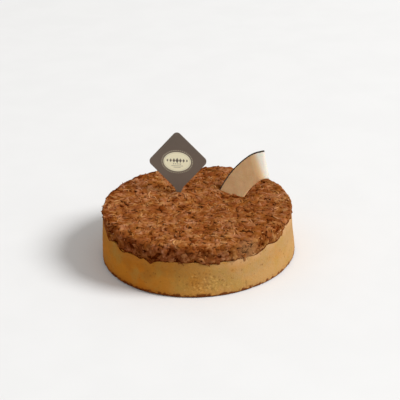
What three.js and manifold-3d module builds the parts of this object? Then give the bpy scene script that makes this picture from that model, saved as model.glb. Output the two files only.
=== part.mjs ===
// A whole round coconut tart, in millimetres: +Z is up, -Y is the front, and the origin is the
// centre of its base. A solid shortcrust crust carries a browned layer of matted coconut, which
// hangs a little over the crust's uneven rim. A diamond tag on a pointed stake and a curled
// crescent slice of coconut stand in the top.

import * as THREE from 'three';
import { ImprovedNoise } from 'three/addons/math/ImprovedNoise.js';
import { mergeVertices } from 'three/addons/utils/BufferGeometryUtils.js';
import Module from 'manifold-3d';

const {
  clamp, degToRad, euclideanModulo, lerp, mapLinear, radToDeg, seededRandom, smoothstep,
} = THREE.MathUtils;

const wasm = await Module();
wasm.setup();
const noise = new ImprovedNoise();

// Driving dimensions

const gap = 0.3; // left between pieces that touch

const baseRadius = 80;
const baseRounding = 1.8; // radius of the edge that the crust stands on
const wallRadius = 77.3; // of the crust at its rim
const shoulderRadius = 75; // the rim slopes in to here, under the coconut
const shoulderRise = 0.8;
const heartHeight = 31; // of the crust at its centre, under the coconut
const wallWave = 0.1;

// Height of the crust's rim, each after its place round from +X in degrees
const rimHeights = [
  [0, 36], [25, 38], [50, 39.5], [80, 40], [110, 39.5], [135, 40.6], [165, 41], [196, 41],
  [202, 36], [209, 31.5], [220, 28.5], [240, 29], [262, 30], [280, 28.5], [303, 28.5],
  [316, 32.5], [328, 36.5], [342, 35.5], [360, 36],
];

const coconutHeight = 43.4; // of the coconut's top, without its lumps
const backRise = { x: -50, y: 48, height: 1.8, reach: 34 }; // the top swells up here
const stakeRise = { height: 3.4, reach: 12 }; // pushed up round the tag's stake
const coconutRadius = 78.6;
const coconutThinnest = 0.7; // over the crust
const lipRadius = 78.05; // inner face of the lip that hangs over the rim
const lipRagged = 1.4; // how far its edge hangs down at most
// Lobes that hang down over the crust: place round and half width in degrees, length in millimetres
const drips = [
  { at: 201, halfWidth: 9, length: 4.2 },
  { at: 240, halfWidth: 2.2, length: 3.4 },
  { at: 323.5, halfWidth: 8.5, length: 5 },
];
const edgeDrop = 2.3; // rounding of the top's edge
const lumpHeight = 1.7;
const lumpSpacing = 5.2;
const meshStep = 3.2; // length of the coconut's triangles

const flake = { length: [6, 10], width: [1.9, 2.8], thickness: 0.9, lift: [0.8, 1.6], sunk: [0.3, 0.7] };
const topFlakes = 54;
const sideFlakes = 18;
const sideFlakeSpan = [193, 347]; // degrees round, where the coconut's side is tall
const clearOfPieces = 9; // between the middle of a flake and the tag or the slice

const tagSide = 36.5;
const tagCorner = 4; // radius of its rounded corners
const tagThickness = 0.9;
const tagHeight = 28; // of the tag's middle above the coconut, along its stake
const stakeWidth = 7.6; // where it leaves the tag
const stakeNeck = { width: 3.6, height: 1.8 }; // it narrows quickly down to here
const stakeTip = 1.2; // its width at its foot
const stakeDepth = 8; // in the coconut
const tagFoot = { x: -14.4, y: 19.2, z: 43.5 };
const tagTurn = { lean: 12, yaw: -12.5, roll: 2 }; // degrees

const sliceOuter = 62; // radii of the crescent
const sliceInner = 36;
const sliceThickness = 1.5;
const sliceEnds = [176, 125.5]; // degrees round the crescent's centre, the sunk end first
const sliceCentre = { x: 60, y: -8.5 }; // from the foot, in the slice's own plane
const curlStart = 0.76; // share of the slice's length that stays flat
const curlDepth = 5;
const bowDepth = 0.8; // of the whole slice, across its width
const sliceFoot = { x: 20.9, y: 26.6, z: 43.5 };
const sliceTurn = { lean: 35.5, yaw: -42.2 };
const sliceHold = { x: 30.7, y: 19.5 }; // middle of the line where it enters the coconut

// Solids

function solidOf(geometry) {
  const bare = geometry.clone();
  bare.deleteAttribute('normal');
  bare.deleteAttribute('uv');
  const merged = mergeVertices(bare, 1e-4);
  return new wasm.Manifold(new wasm.Mesh({
    numProp: 3,
    vertProperties: merged.getAttribute('position').array,
    triVerts: new Uint32Array(merged.index.array),
  }));
}

function geometryOf(solid) {
  const { vertProperties, triVerts } = solid.getMesh();
  const geometry = new THREE.BufferGeometry();
  geometry.setAttribute('position', new THREE.BufferAttribute(vertProperties, 3));
  geometry.setIndex(new THREE.BufferAttribute(triVerts, 1));
  geometry.computeVertexNormals();
  return geometry;
}

// Moves every vertex of a geometry by move(point), which changes the point
function warp(geometry, move) {
  const places = geometry.getAttribute('position');
  const point = new THREE.Vector3();
  for (let i = 0; i < places.count; i += 1) {
    point.fromBufferAttribute(places, i);
    move(point);
    places.setXYZ(i, point.x, point.y, point.z);
  }
  return geometry;
}

// Joins two rings of different counts. Each step takes the ring whose next vertex comes first, or
// the fuller ring at a tie, so that two bodies with the same rings meet face to face.
function stitch(lower, upper, faces) {
  let i = lower.count === 1 ? 1 : 0;
  let j = upper.count === 1 ? 1 : 0;
  while (i < lower.count || j < upper.count) {
    const a = lower.first + i % lower.count;
    const b = upper.first + j % upper.count;
    const ahead = (j + 1) / upper.count - (i + 1) / lower.count;
    const lowerFirst = ahead > 0 || (ahead === 0 && lower.count >= upper.count);
    if (j === upper.count || (i < lower.count && lowerFirst)) {
      i += 1;
      faces.push(a, lower.first + i % lower.count, b);
    } else {
      j += 1;
      faces.push(a, upper.first + j % upper.count, b);
    }
  }
}

// A closed round body from rings that run from the middle of its base, out, up and in to the
// middle of its top. Each is { count, at }, where at(angle) gives [radius, height].
function ringGeometry(rings) {
  const places = [];
  const faces = [];
  const placed = rings.map(({ count, at }) => {
    const first = places.length / 3;
    for (let i = 0; i < count; i += 1) {
      const angle = (i / count) * 2 * Math.PI;
      const [radius, height] = at(angle);
      places.push(radius * Math.cos(angle), radius * Math.sin(angle), height);
    }
    return { count, first };
  });
  placed.slice(1).forEach((ring, i) => stitch(placed[i], ring, faces));
  const geometry = new THREE.BufferGeometry();
  geometry.setAttribute('position', new THREE.Float32BufferAttribute(places, 3));
  geometry.setIndex(faces);
  return geometry;
}

// The crust

function rimHeight(angle) {
  const turn = euclideanModulo(radToDeg(angle), 360);
  const next = rimHeights.findIndex(([at]) => at > turn);
  const [from, low] = rimHeights[next - 1];
  const [to, high] = rimHeights[next];
  return lerp(low, high, smoothstep(turn, from, to));
}

// The crust's rings under the coconut: radius, count, and how much their height follows the rim
const coveredRings = [
  { radius: shoulderRadius, count: 120, share: 1 },
  { radius: 66, count: 60, share: 0.7 },
  { radius: 38, count: 30, share: 0.25 },
  { radius: 0, count: 1, share: 0 },
];

function coveredRing({ radius, count, share }, lift) {
  const at = (angle) => [radius, lift + lerp(heartHeight, rimHeight(angle) + shoulderRise, share)];
  return { count, at };
}

function crustGeometry() {
  const round = 120;
  const wallRing = (share) => ({
    count: round,
    at: (angle) => {
      const wave = wallWave * noise.noise(5 * Math.cos(angle), 5 * Math.sin(angle), 3 * share);
      return [lerp(baseRadius, wallRadius, share) + wave * Math.sin(share * Math.PI),
        lerp(baseRounding, rimHeight(angle) - gap, share)];
    },
  });
  const softened = baseRounding * (1 - Math.SQRT1_2); // half way round the base's edge
  return ringGeometry([
    { count: 1, at: () => [0, 0] },
    { count: round, at: () => [baseRadius - baseRounding, 0] },
    { count: round, at: () => [baseRadius - softened, softened] },
    ...[0, 0.25, 0.5, 0.75, 1].map(wallRing),
    ...coveredRings.map((ring) => coveredRing(ring, 0)),
  ]);
}

// The coconut

function lumps(x, y) {
  const coarse = noise.noise(x / lumpSpacing, y / lumpSpacing, 0.3);
  const fine = noise.noise(x / (0.55 * lumpSpacing), y / (0.55 * lumpSpacing), 7.7);
  return lumpHeight * (coarse + 0.7 * fine);
}

// How much a rise lifts the top, from all of its height at its middle to nothing at its reach
function swell(x, y, middle, { height, reach }) {
  return height * (1 - smoothstep(Math.hypot(x - middle.x, y - middle.y), 0, reach));
}

function topHeight(x, y) {
  const risen = swell(x, y, backRise, backRise) + swell(x, y, tagFoot, stakeRise);
  const slow = 0.6 * noise.noise(x / 24, y / 24, 4.4);
  return coconutHeight + risen + slow + lumps(x, y);
}

function lipHeight(angle) {
  const ragged = 0.5 + noise.noise(12 * Math.cos(angle), 12 * Math.sin(angle), 1.5);
  const runs = drips.map(({ at, halfWidth, length }) => {
    const off = Math.abs(euclideanModulo(radToDeg(angle) - at + 180, 360) - 180);
    return length * (1 - smoothstep(off, 0, halfWidth));
  });
  return rimHeight(angle) - lipRagged * clamp(ragged, 0, 1) - Math.max(...runs);
}

// Height of the crust under the coconut, which is level from its shoulder outwards
function crustTop(radius, angle) {
  const rings = coveredRings.map((ring) => coveredRing(ring, 0).at(angle));
  const inner = rings.findIndex(([at]) => at <= radius);
  if (inner < 1) return rings[0][1];
  const [[outerRadius, outerHeight], [innerRadius, innerHeight]] = rings.slice(inner - 1);
  return mapLinear(radius, innerRadius, outerRadius, innerHeight, outerHeight);
}

// A ring of the coconut's side, from its lip, 0, to the start of its rounded edge, 1
function sideRing(share) {
  const count = Math.round(2 * Math.PI * coconutRadius / meshStep);
  const at = (angle) => {
    const x = coconutRadius * Math.cos(angle);
    const y = coconutRadius * Math.sin(angle);
    const low = lipHeight(angle);
    const high = topHeight(x, y) - edgeDrop;
    const lump = 0.9 * noise.noise(x / 4, y / 4, 9 * share);
    return [coconutRadius + Math.max(lump, -gap), lerp(low, high, share)];
  };
  return { count, at };
}

function coconutCore() {
  const lip = sideRing(0);
  const rings = coveredRings.toReversed().map((ring) => coveredRing(ring, gap));
  rings.push({ count: lip.count, at: (angle) => [wallRadius + 2 * gap, rimHeight(angle) + gap] });
  rings.push({ count: lip.count, at: (angle) => [lipRadius, lipHeight(angle)] });
  rings.push(...[0.08, 0.36, 0.68, 1].map(sideRing));
  for (let radius = coconutRadius - edgeDrop; radius > meshStep / 2; radius -= meshStep) {
    const count = Math.round(2 * Math.PI * radius / meshStep);
    const edge = smoothstep(radius, coconutRadius - 3 * edgeDrop, coconutRadius);
    const at = (angle) => {
      const height = topHeight(radius * Math.cos(angle), radius * Math.sin(angle));
      const lowest = crustTop(radius, angle) + gap + coconutThinnest;
      return [radius, Math.max(height - edgeDrop * edge, lowest)];
    };
    rings.push({ count, at });
  }
  rings.push({ count: 1, at: () => [0, topHeight(0, 0)] });
  return solidOf(ringGeometry(rings));
}

function between([low, high]) {
  return lerp(low, high, seededRandom());
}

// A thin strip that narrows and lifts towards both ends
function flakeGeometry() {
  const length = between(flake.length);
  const lift = between(flake.lift);
  const strip = new THREE.BoxGeometry(length, between(flake.width), flake.thickness, 3, 1, 1);
  return warp(strip, (point) => {
    const out = (2 * point.x / length) ** 2;
    point.y *= 1 - 0.45 * out;
    point.z += lift * out;
  });
}

function topFlake(index) {
  const goldenAngle = degToRad(137.508);
  const radius = (coconutRadius - flake.length[0]) * Math.sqrt((index + 0.5) / topFlakes);
  const angle = index * goldenAngle + between([-0.06, 0.06]);
  const x = radius * Math.cos(angle);
  const y = radius * Math.sin(angle);
  const strip = flakeGeometry();
  const turn = new THREE.Euler(between([-0.3, 0.3]), between([-0.2, 0.2]), between([0, Math.PI]));
  strip.applyMatrix4(new THREE.Matrix4().makeRotationFromEuler(turn));
  strip.translate(x, y, topHeight(x, y) - between(flake.sunk));
  return { x, y, strip };
}

// The side's flakes lie flat against it, one after the other round the front
function sideFlake(index) {
  const angle = degToRad(lerp(...sideFlakeSpan, (index + between([0.2, 0.8])) / sideFlakes));
  const x = coconutRadius * Math.cos(angle);
  const y = coconutRadius * Math.sin(angle);
  const strip = flakeGeometry();
  strip.rotateZ(between([-0.7, 0.7]));
  strip.rotateX(Math.PI / 2);
  strip.rotateZ(angle + Math.PI / 2);
  const height = lerp(rimHeight(angle), topHeight(x, y), between([0.35, 0.75]));
  const inwards = 1 - 1 / coconutRadius;
  strip.translate(inwards * x, inwards * y, height);
  return { x, y, strip };
}

function coconutGeometry(slots) {
  seededRandom(11);
  const flakes = Array.from({ length: topFlakes }, (_, i) => topFlake(i));
  flakes.push(...Array.from({ length: sideFlakes }, (_, i) => sideFlake(i)));
  const isClear = ({ x, y }) => [tagFoot, sliceHold]
    .every((foot) => Math.hypot(x - foot.x, y - foot.y) > clearOfPieces);
  let solid = coconutCore();
  for (const { strip } of flakes.filter(isClear)) solid = solid.add(solidOf(strip));
  for (const slot of slots) solid = solid.subtract(solidOf(slot));
  const bodies = solid.decompose().sort((a, b) => b.volume() - a.volume());
  return geometryOf(bodies[0]); // without any scrap that a slot cuts loose
}

// The tag: a square on its corner, whose lowest corner runs on as a tapered stake. Its own origin
// is where the stake enters the coconut. grown widens it all round, for its slot.
function tagGeometry(grown = 0) {
  const half = tagSide / Math.SQRT2 + Math.SQRT2 * grown;
  const centreOut = half - tagCorner * Math.SQRT2; // of a corner's arc, from the middle
  const stakeHalf = stakeWidth / 2 + grown;
  const stakeTop = tagHeight - half + stakeHalf;
  const neckHalf = stakeNeck.width / 2 + grown;
  const tipHalf = stakeTip / 2 + grown;
  const eighth = Math.PI / 4;
  const outline = new THREE.Shape();
  outline.moveTo(tipHalf, -stakeDepth - grown);
  outline.lineTo(neckHalf, stakeNeck.height);
  outline.lineTo(stakeHalf, stakeTop);
  outline.absarc(centreOut, tagHeight, tagCorner, -eighth, eighth);
  outline.absarc(0, tagHeight + centreOut, tagCorner, eighth, 3 * eighth);
  outline.absarc(-centreOut, tagHeight, tagCorner, 3 * eighth, 5 * eighth);
  outline.lineTo(-stakeHalf, stakeTop);
  outline.lineTo(-neckHalf, stakeNeck.height);
  outline.lineTo(-tipHalf, -stakeDepth - grown);
  const depth = tagThickness + 2 * grown;
  const plate = new THREE.ExtrudeGeometry(outline, { depth, bevelEnabled: false, curveSegments: 8 });
  return plate.translate(0, 0, -depth / 2).rotateZ(degToRad(tagTurn.roll));
}

// The slice of coconut: a thin sheet along a crescent, whose free end curls back
function sliceGeometry(grown = 0) {
  const sheet = new THREE.BoxGeometry(1, 1, sliceThickness + 2 * grown, 20, 5, 1);
  return warp(sheet, (point) => {
    const along = point.x + 0.5;
    const across = point.y + 0.5;
    const radius = lerp(sliceInner - grown, sliceOuter + grown, across);
    const angle = degToRad(lerp(...sliceEnds, along)) + (0.5 - along) * 2 * grown / radius;
    const curl = Math.max(along - curlStart, 0) / (1 - curlStart);
    point.x = sliceCentre.x + radius * Math.cos(angle);
    point.y = sliceCentre.y + radius * Math.sin(angle);
    point.z -= curlDepth * curl ** 2 + bowDepth * (2 * across - 1) ** 2;
  });
}

// The parts

function part(name, geometry, color, roughness) {
  const material = new THREE.MeshStandardMaterial({ color, roughness, metalness: 0 });
  const mesh = new THREE.Mesh(geometry, material);
  mesh.name = name;
  return mesh;
}

// Stands a flat piece up in its foot, leaning back and turned about the vertical
function stand(mesh, foot, { lean, yaw }) {
  mesh.position.set(foot.x, foot.y, foot.z);
  mesh.rotation.set(degToRad(90 - lean), 0, degToRad(yaw), 'ZXY');
  mesh.updateMatrix();
  return mesh;
}

const tag = stand(part('tag', tagGeometry(), 0x6a5c52, 0.45), tagFoot, tagTurn);
const slice = stand(part('coconut_slice', sliceGeometry(), 0xcdb08c, 0.6), sliceFoot, sliceTurn);
const slots = [
  tagGeometry(gap).applyMatrix4(tag.matrix),
  sliceGeometry(gap).applyMatrix4(slice.matrix),
];

const group = new THREE.Group();
group.add(part('crust', crustGeometry(), 0xb98445, 0.8));
group.add(part('coconut_layer', coconutGeometry(slots), 0x94592f, 0.7));
group.add(tag);
group.add(slice);

export default group;
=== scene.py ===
# Looks of a whole round coconut tart. Metres, +Z up, the front at -Y, its base on Z = 0.
import math

import bpy
import numpy as np
from mathutils import Matrix, Vector, kdtree, noise


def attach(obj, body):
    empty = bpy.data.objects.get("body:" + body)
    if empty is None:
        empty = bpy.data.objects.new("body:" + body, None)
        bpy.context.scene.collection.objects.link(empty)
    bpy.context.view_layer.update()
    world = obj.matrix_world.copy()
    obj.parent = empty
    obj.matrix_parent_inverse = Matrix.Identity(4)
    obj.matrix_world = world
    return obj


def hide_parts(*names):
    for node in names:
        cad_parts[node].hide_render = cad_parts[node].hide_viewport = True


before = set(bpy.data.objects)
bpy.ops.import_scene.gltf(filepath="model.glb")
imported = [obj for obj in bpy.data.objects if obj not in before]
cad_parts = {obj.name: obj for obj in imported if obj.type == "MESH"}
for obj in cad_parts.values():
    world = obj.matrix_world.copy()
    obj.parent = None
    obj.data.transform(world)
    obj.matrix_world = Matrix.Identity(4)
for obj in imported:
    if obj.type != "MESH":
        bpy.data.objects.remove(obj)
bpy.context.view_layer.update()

mm = 0.001
rng = np.random.default_rng(23)
noise.seed_set(23)  # without a seed, noise vectors change from run to run
print("frame loaded:", sorted(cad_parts))


# shared shapes and numbers

def smooth(x, low, high):
    t = np.clip((x - low) / (high - low), 0, 1)
    return t * t * (3 - 2 * t)


def unit(vectors):
    return vectors / np.linalg.norm(vectors, axis=1)[:, None]


def bumps(points, size, octaves, seed):
    # one smooth random number, about -1 to 1, for each point
    shift = Vector((seed, 1.7 * seed, 2.3 * seed))
    values = [noise.fractal(Vector(p) / size + shift, 1.0, 2.0, octaves) for p in points.reshape(-1, 3)]
    return np.array(values).reshape(points.shape[:-1])


def between(low, high, count):
    return rng.uniform(low, high, count)


def makePiece(name, corners, faces, marks=None):
    mesh = bpy.data.meshes.new(name)
    mesh.from_pydata(np.asarray(corners).tolist(), [], faces)
    for mark, values in (marks or {}).items():
        layer = mesh.attributes.new(mark, "FLOAT", "POINT")
        layer.data.foreach_set("value", np.asarray(values, np.float32))
    mesh.polygons.foreach_set("use_smooth", [True] * len(mesh.polygons))
    mesh.validate()
    piece = bpy.data.objects.new(name, mesh)
    bpy.context.scene.collection.objects.link(piece)
    return piece


def wear(piece, material):
    piece.data.materials.clear()
    piece.data.materials.append(material)
    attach(piece, "root")


def ringFaces(rows, columns):
    # quads between rows of a round grid, then a fan to one corner below and one above
    index = np.arange(rows * columns).reshape(rows, columns)
    nextOver = np.roll(index, -1, axis=1)
    quads = np.stack([index[:-1], nextOver[:-1], nextOver[1:], index[1:]], -1).reshape(-1, 4)
    low, high = rows * columns, rows * columns + 1
    fans = [[low, b, a] for a, b in zip(index[0], nextOver[0])]
    fans += [[high, a, b] for a, b in zip(index[-1], nextOver[-1])]
    return quads.tolist() + [[int(i) for i in fan] for fan in fans]


def cornersOf(node):
    return np.array([corner.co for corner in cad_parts[node].data.vertices])


def ringHeight(node, radius):
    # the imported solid's height round one of its rings, the lowest where two share an angle
    corners = cornersOf(node)
    ring = corners[np.abs(np.hypot(corners[:, 0], corners[:, 1]) - radius) < 0.02 * mm]
    angles = np.round(np.arctan2(ring[:, 1], ring[:, 0]), 4)
    order = np.lexsort((ring[:, 2], angles))
    angles, first = np.unique(angles[order], return_index=True)
    heights = ring[order][first, 2]
    return lambda angle: np.interp(angle, angles, heights, period=2 * math.pi)


def standing(foot, lean, yaw):
    turn = Matrix.Rotation(math.radians(yaw), 4, "Z") @ Matrix.Rotation(math.radians(90 - lean), 4, "X")
    return Matrix.Translation(Vector(foot) * mm) @ turn


# shader helpers and shared node groups

def addNode(tree, kind, **settings):
    node = tree.nodes.new("ShaderNode" + kind)
    for name, value in settings.items():
        setattr(node, name, value)
    return node


def feed(tree, node, **values):
    # fills a node's sockets, by name with _ for a space, with values or with other nodes' outputs
    for name, value in values.items():
        socket = node.inputs[name.replace("_", " ")]
        if isinstance(value, bpy.types.NodeSocket):
            tree.links.new(value, socket)
        else:
            socket.default_value = value
    return node


def maths(tree, operation, a, b=None, clamp=False):
    node = addNode(tree, "Math", operation=operation, use_clamp=clamp)
    for socket, value in zip(node.inputs, (a, b)):
        if isinstance(value, bpy.types.NodeSocket):
            tree.links.new(value, socket)
        elif value is not None:
            socket.default_value = value
    return node.outputs[0]


def times(tree, a, b, clamp=False):
    return maths(tree, "MULTIPLY", a, b, clamp)


def mixColours(tree, share, first, second, blend="MIX"):
    node = addNode(tree, "Mix", data_type="RGBA", blend_type=blend)
    for socket, value in zip((node.inputs[0], node.inputs[6], node.inputs[7]), (share, first, second)):
        if isinstance(value, bpy.types.NodeSocket):
            tree.links.new(value, socket)
        else:
            socket.default_value = value
    return node.outputs[2]


def rescale(tree, value, low, high, toLow=0.0, toHigh=1.0):
    node = addNode(tree, "MapRange", interpolation_type="SMOOTHSTEP")
    feed(tree, node, Value=value, From_Min=low, From_Max=high, To_Min=toLow, To_Max=toHigh)
    return node.outputs[0]


def readMark(tree, name):
    return addNode(tree, "Attribute", attribute_name=name).outputs["Fac"]


def objectPlace(tree, shift=None):
    # the point on the piece, moved by the shift where a pattern needs its own part of the noise
    point = addNode(tree, "TexCoord").outputs["Object"]
    if shift is None:
        return point
    moved = addNode(tree, "VectorMath", operation="ADD")
    tree.links.new(point, moved.inputs[0])
    tree.links.new(shift, moved.inputs[1])
    return moved.outputs[0]


def splitPlace(tree):
    parts = addNode(tree, "SeparateXYZ")
    tree.links.new(objectPlace(tree), parts.inputs[0])
    return parts.outputs["X"], parts.outputs["Y"], parts.outputs["Z"]


def perMetre(tree, size):
    # a texture's scale from a width in millimetres
    return maths(tree, "DIVIDE", 1000.0, size)


def startGroup(name, inputs, outputs):
    tree = bpy.data.node_groups.new(name, "ShaderNodeTree")
    for label, value in inputs.items():
        socket = tree.interface.new_socket(name=label, in_out="INPUT", socket_type="NodeSocketFloat")
        socket.default_value = value
    for label in outputs:
        tree.interface.new_socket(name=label, in_out="OUTPUT", socket_type="NodeSocketFloat")
    return tree, tree.nodes.new("NodeGroupInput").outputs, tree.nodes.new("NodeGroupOutput")


def buildMottle():
    # soft patches: Mask is 0 to 1, with Size the width of a patch in millimetres
    values = {"Size": 8, "Detail": 3, "Low": 0.35, "High": 0.65, "Seed": 0}
    tree, given, out = startGroup("mottle", values, ["Mask"])
    patches = addNode(tree, "TexNoise")
    feed(tree, patches, Vector=objectPlace(tree, given["Seed"]), Scale=perMetre(tree, given["Size"]),
         Detail=given["Detail"], Roughness=0.55)
    tree.links.new(rescale(tree, patches.outputs["Fac"], given["Low"], given["High"]), out.inputs["Mask"])
    return tree


def buildSpecks():
    # small round dots: Mask is 1 in a dot, with Spacing in millimetres and Size the dot's share of it
    values = {"Spacing": 4, "Size": 0.15, "Kept": 0.4, "Seed": 0}
    tree, given, out = startGroup("specks", values, ["Mask"])
    cells = addNode(tree, "TexVoronoi", feature="F1")
    feed(tree, cells, Vector=objectPlace(tree, given["Seed"]), Scale=perMetre(tree, given["Spacing"]),
         Randomness=1.0)
    parts = addNode(tree, "SeparateColor")
    tree.links.new(cells.outputs["Color"], parts.inputs[0])
    size = times(tree, given["Size"], maths(tree, "ADD", 0.4, parts.outputs[1]))
    near = maths(tree, "DIVIDE", cells.outputs["Distance"], size)
    dot = rescale(tree, near, 0.7, 1.1, 1.0, 0.0)
    kept = maths(tree, "LESS_THAN", parts.outputs[0], given["Kept"])
    tree.links.new(times(tree, dot, kept), out.inputs["Mask"])
    return tree


def buildGrain():
    # fine uneven height for a bump, with Size in millimetres
    tree, given, out = startGroup("grain", {"Size": 0.8, "Roughness": 0.6}, ["Height"])
    grains = addNode(tree, "TexNoise")
    feed(tree, grains, Vector=objectPlace(tree), Scale=perMetre(tree, given["Size"]), Detail=5.0,
         Roughness=given["Roughness"])
    tree.links.new(grains.outputs["Fac"], out.inputs["Height"])
    return tree


groups = {"mottle": buildMottle(), "specks": buildSpecks(), "grain": buildGrain()}


def place(tree, group, **values):
    node = addNode(tree, "Group", node_tree=groups[group])
    return feed(tree, node, **values).outputs[0]


def rampAlong(tree, value, stops):
    # a colour ramp whose stops are keyed by the value, in metres
    ends = min(stops), max(stops)
    ramp = addNode(tree, "ValToRGB")
    ramp.color_ramp.interpolation = "EASE"
    elements = ramp.color_ramp.elements
    elements[0].color, elements[1].color = stops[ends[0]], stops[ends[1]]
    for at in sorted(stops)[1:-1]:
        elements.new((at - ends[0]) / (ends[1] - ends[0])).color = stops[at]
    share = addNode(tree, "MapRange")
    feed(tree, share, Value=value, From_Min=ends[0], From_Max=ends[1])
    tree.links.new(share.outputs[0], ramp.inputs[0])
    return ramp.outputs[0]


def startMaterial(name, **numbers):
    material = bpy.data.materials.new(name)
    material.use_nodes = True
    tree = material.node_tree
    shader = tree.nodes["Principled BSDF"]
    feed(tree, shader, **numbers)
    return material, tree, shader


def addBump(tree, shader, height, depth, strength=1.0):
    bump = addNode(tree, "Bump")
    feed(tree, bump, Height=height, Distance=depth, Strength=strength)
    tree.links.new(bump.outputs["Normal"], shader.inputs["Normal"])


print("shared node groups built:", sorted(groups))


# crust

crust = {
    "columns": 720, "rows": 60,
    "baseRadius": 80 * mm, "baseRounding": 1.8 * mm, "wallRadius": 77.3 * mm,
    "heart": 30.8 * mm,  # height of its middle, under the coconut
    "wave": 0.28 * mm, "waveSize": 26 * mm, "grain": 0.09 * mm, "grainSize": 1.7 * mm,
    "crumble": 0.45 * mm, "crumbleSize": 2.2 * mm, "crumbleReach": 1.6 * mm,  # of its lowest edge
    # marks on the wall, in millimetres
    # pits deeper than their dark depth, dug crumbs and the score line are painted darker, as painted shade
    # in them
    "pits": {"count": 420, "size": (0.35, 0.95), "depth": (0.12, 0.38), "dark": 0.2},
    "blisters": {"count": 90, "size": (0.9, 2.4), "height": (0.08, 0.22)},
    "crumbs": {"angle": -86, "height": 10.5, "reach": (15, 8), "count": 95, "size": (0.5, 1.1),
               "depth": (0.15, 0.4), "tone": 0.8},
    "score": {"angle": -63.3, "low": 1.5, "high": 10, "depth": 0.3, "width": 0.5, "tone": 0.7},
    # dark bits: degrees round, height and width
    "bits": ((-116, 18, 0.8), (-113, 12, 0.6), (-122, 9, 0.6), (-79, 14, 0.8), (-72, 14, 0.6),
             (-51, 17, 1.0), (-31, 15, 0.9), (-128, 26, 0.5)),
    "bitShape": {"width": 0.7, "rise": 0.3, "tone": 2.2},
    "nearRim": (1 * mm, 9 * mm),  # how far below the rim its rosy band fades
    # colours along X, low on the wall and high on it, with painted light and shade in them: paler on the
    # lit +X side, darker and more saturated on the shaded -X side, and the high colours darker on the left
    # and front as painted shade
    "low": {-0.066: (0.490, 0.172, 0.013, 1), -0.051: (0.460, 0.147, 0.011, 1),
            -0.036: (0.455, 0.178, 0.022, 1), -0.003: (0.495, 0.242, 0.053, 1),
            0.045: (0.420, 0.243, 0.090, 1)},
    "high": {-0.066: (0.405, 0.150, 0.013, 1), -0.051: (0.380, 0.125, 0.009, 1),
             -0.036: (0.355, 0.135, 0.017, 1), -0.003: (0.360, 0.170, 0.036, 1),
             0.045: (0.388, 0.232, 0.094, 1)},
    "upperShadeFrom": (10 * mm, 22 * mm), "sway": {"Size": 22, "Seed": 31}, "swayReach": 14 * mm,
    # the patches: their colour, their pattern and how much of their colour shows; where that changes
    # along X or Z, the four numbers are the start, the end, and how much shows at each of them
    "olive": (0.34, 0.210, 0.045, 1), "olivePatches": {"Size": 14, "Low": 0.45, "High": 0.68},
    "oliveShare": 0.5,
    "toasted": (0.45, 0.165, 0.012, 1), "toastedAlongX": (-0.06, -0.02, 0.6, 0.3),
    "toastedPatches": {"Size": 12, "Low": 0.48, "High": 0.72, "Seed": 7},
    "rosy": (0.52, 0.300, 0.150, 1), "rosyAlongX": (0.0, 0.03, 0.05, 0.7),
    "rosyPatches": {"Size": 11, "Low": 0.2, "High": 0.5, "Seed": 4},
    "fine": {"Size": 1.3, "Low": 0.3, "High": 0.75, "Seed": 9}, "fineShare": 0.22,
    "footGlow": (0.30, 0.075, 0.003, 1), "glowAlongZ": (0.001, 0.007, 0.6, 0.0),
    "glowAlongX": (0.01, -0.06, 0.25, 1.0),
    "speckAndHollowShade": (0.15, 0.05, 0.006, 1), "specks": {"Spacing": 4.0, "Size": 0.13, "Kept": 0.2},
    "speckShare": 0.5, "bitsAndHollowShadeShare": 0.5, "crumb": (0.66, 0.38, 0.12, 1), "crumbShare": 0.6,
    # the dark line at the foot is partly a browned edge and partly painted contact shadow
    "foot": (0.110, 0.019, 0.0008, 1), "footBrownAndShadeAlongZ": (0.0002, 0.0024, 0.9, 0.0),
    "raggedFoot": {"Size": 3, "Seed": 2}, "raggedReach": 2.2 * mm,
    "roughness": (0.66, 0.8), "grainBump": 0.25 * mm,
}

rimHeight = ringHeight("crust", crust["wallRadius"])


def crustWall(spec):
    # the wall as (angle, height, radius) grids before its small marks, from the base to the rim
    angle = np.linspace(0, 2 * math.pi, spec["columns"], endpoint=False)
    share = np.linspace(0, 1, spec["rows"])[:, None]
    height = spec["baseRounding"] + share * (rimHeight(angle)[None] - spec["baseRounding"])
    radius = spec["baseRadius"] + share * (spec["wallRadius"] - spec["baseRadius"]) + 0 * height
    return np.broadcast_to(angle, height.shape), height, radius


def crustMarks(spec, angle, height):
    # pits, crumbs, blisters and bits, as rows of place round, height, width, rise and tone
    pits, crumbs, blisters, bit = (spec[name] for name in ("pits", "crumbs", "blisters", "bitShape"))
    count = pits["count"]
    depth = between(*pits["depth"], count) * mm
    marks = [[between(0, 2 * math.pi, count), between(2, 40, count) * mm,
              between(*pits["size"], count) * mm, -depth, -1.0 * (depth > pits["dark"] * mm)]]
    count = crumbs["count"]
    reach = 0.5 * np.array(crumbs["reach"]) * mm
    side = rng.choice([-1, 1], count)
    marks.append([math.radians(crumbs["angle"]) + rng.normal(0, 1, count) * reach[0] / spec["baseRadius"],
                  crumbs["height"] * mm + rng.normal(0, 1, count) * reach[1],
                  between(*crumbs["size"], count) * mm, side * between(*crumbs["depth"], count) * mm,
                  crumbs["tone"] * side])
    count = blisters["count"]
    marks.append([between(0, 2 * math.pi, count), between(3, 38, count) * mm,
                  between(*blisters["size"], count) * mm, between(*blisters["height"], count) * mm,
                  np.zeros(count)])
    marks.append(np.transpose([(math.radians(at), up * mm, bit["width"] * width * mm,
                                bit["rise"] * mm * width, -bit["tone"]) for at, up, width in spec["bits"]]))
    rise, dark, pale = np.zeros_like(height), np.zeros_like(height), np.zeros_like(height)
    for at, up, width, lift, tone in np.hstack(marks).T:
        turn = (angle - at + math.pi) % (2 * math.pi) - math.pi
        away = np.hypot(turn * spec["baseRadius"], height - up) / width
        spot = np.exp(-2 * away ** 2)
        rise += lift * spot
        dark = np.maximum(dark, -tone * spot)
        pale = np.maximum(pale, tone * spot)
    return rise, dark, pale


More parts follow.
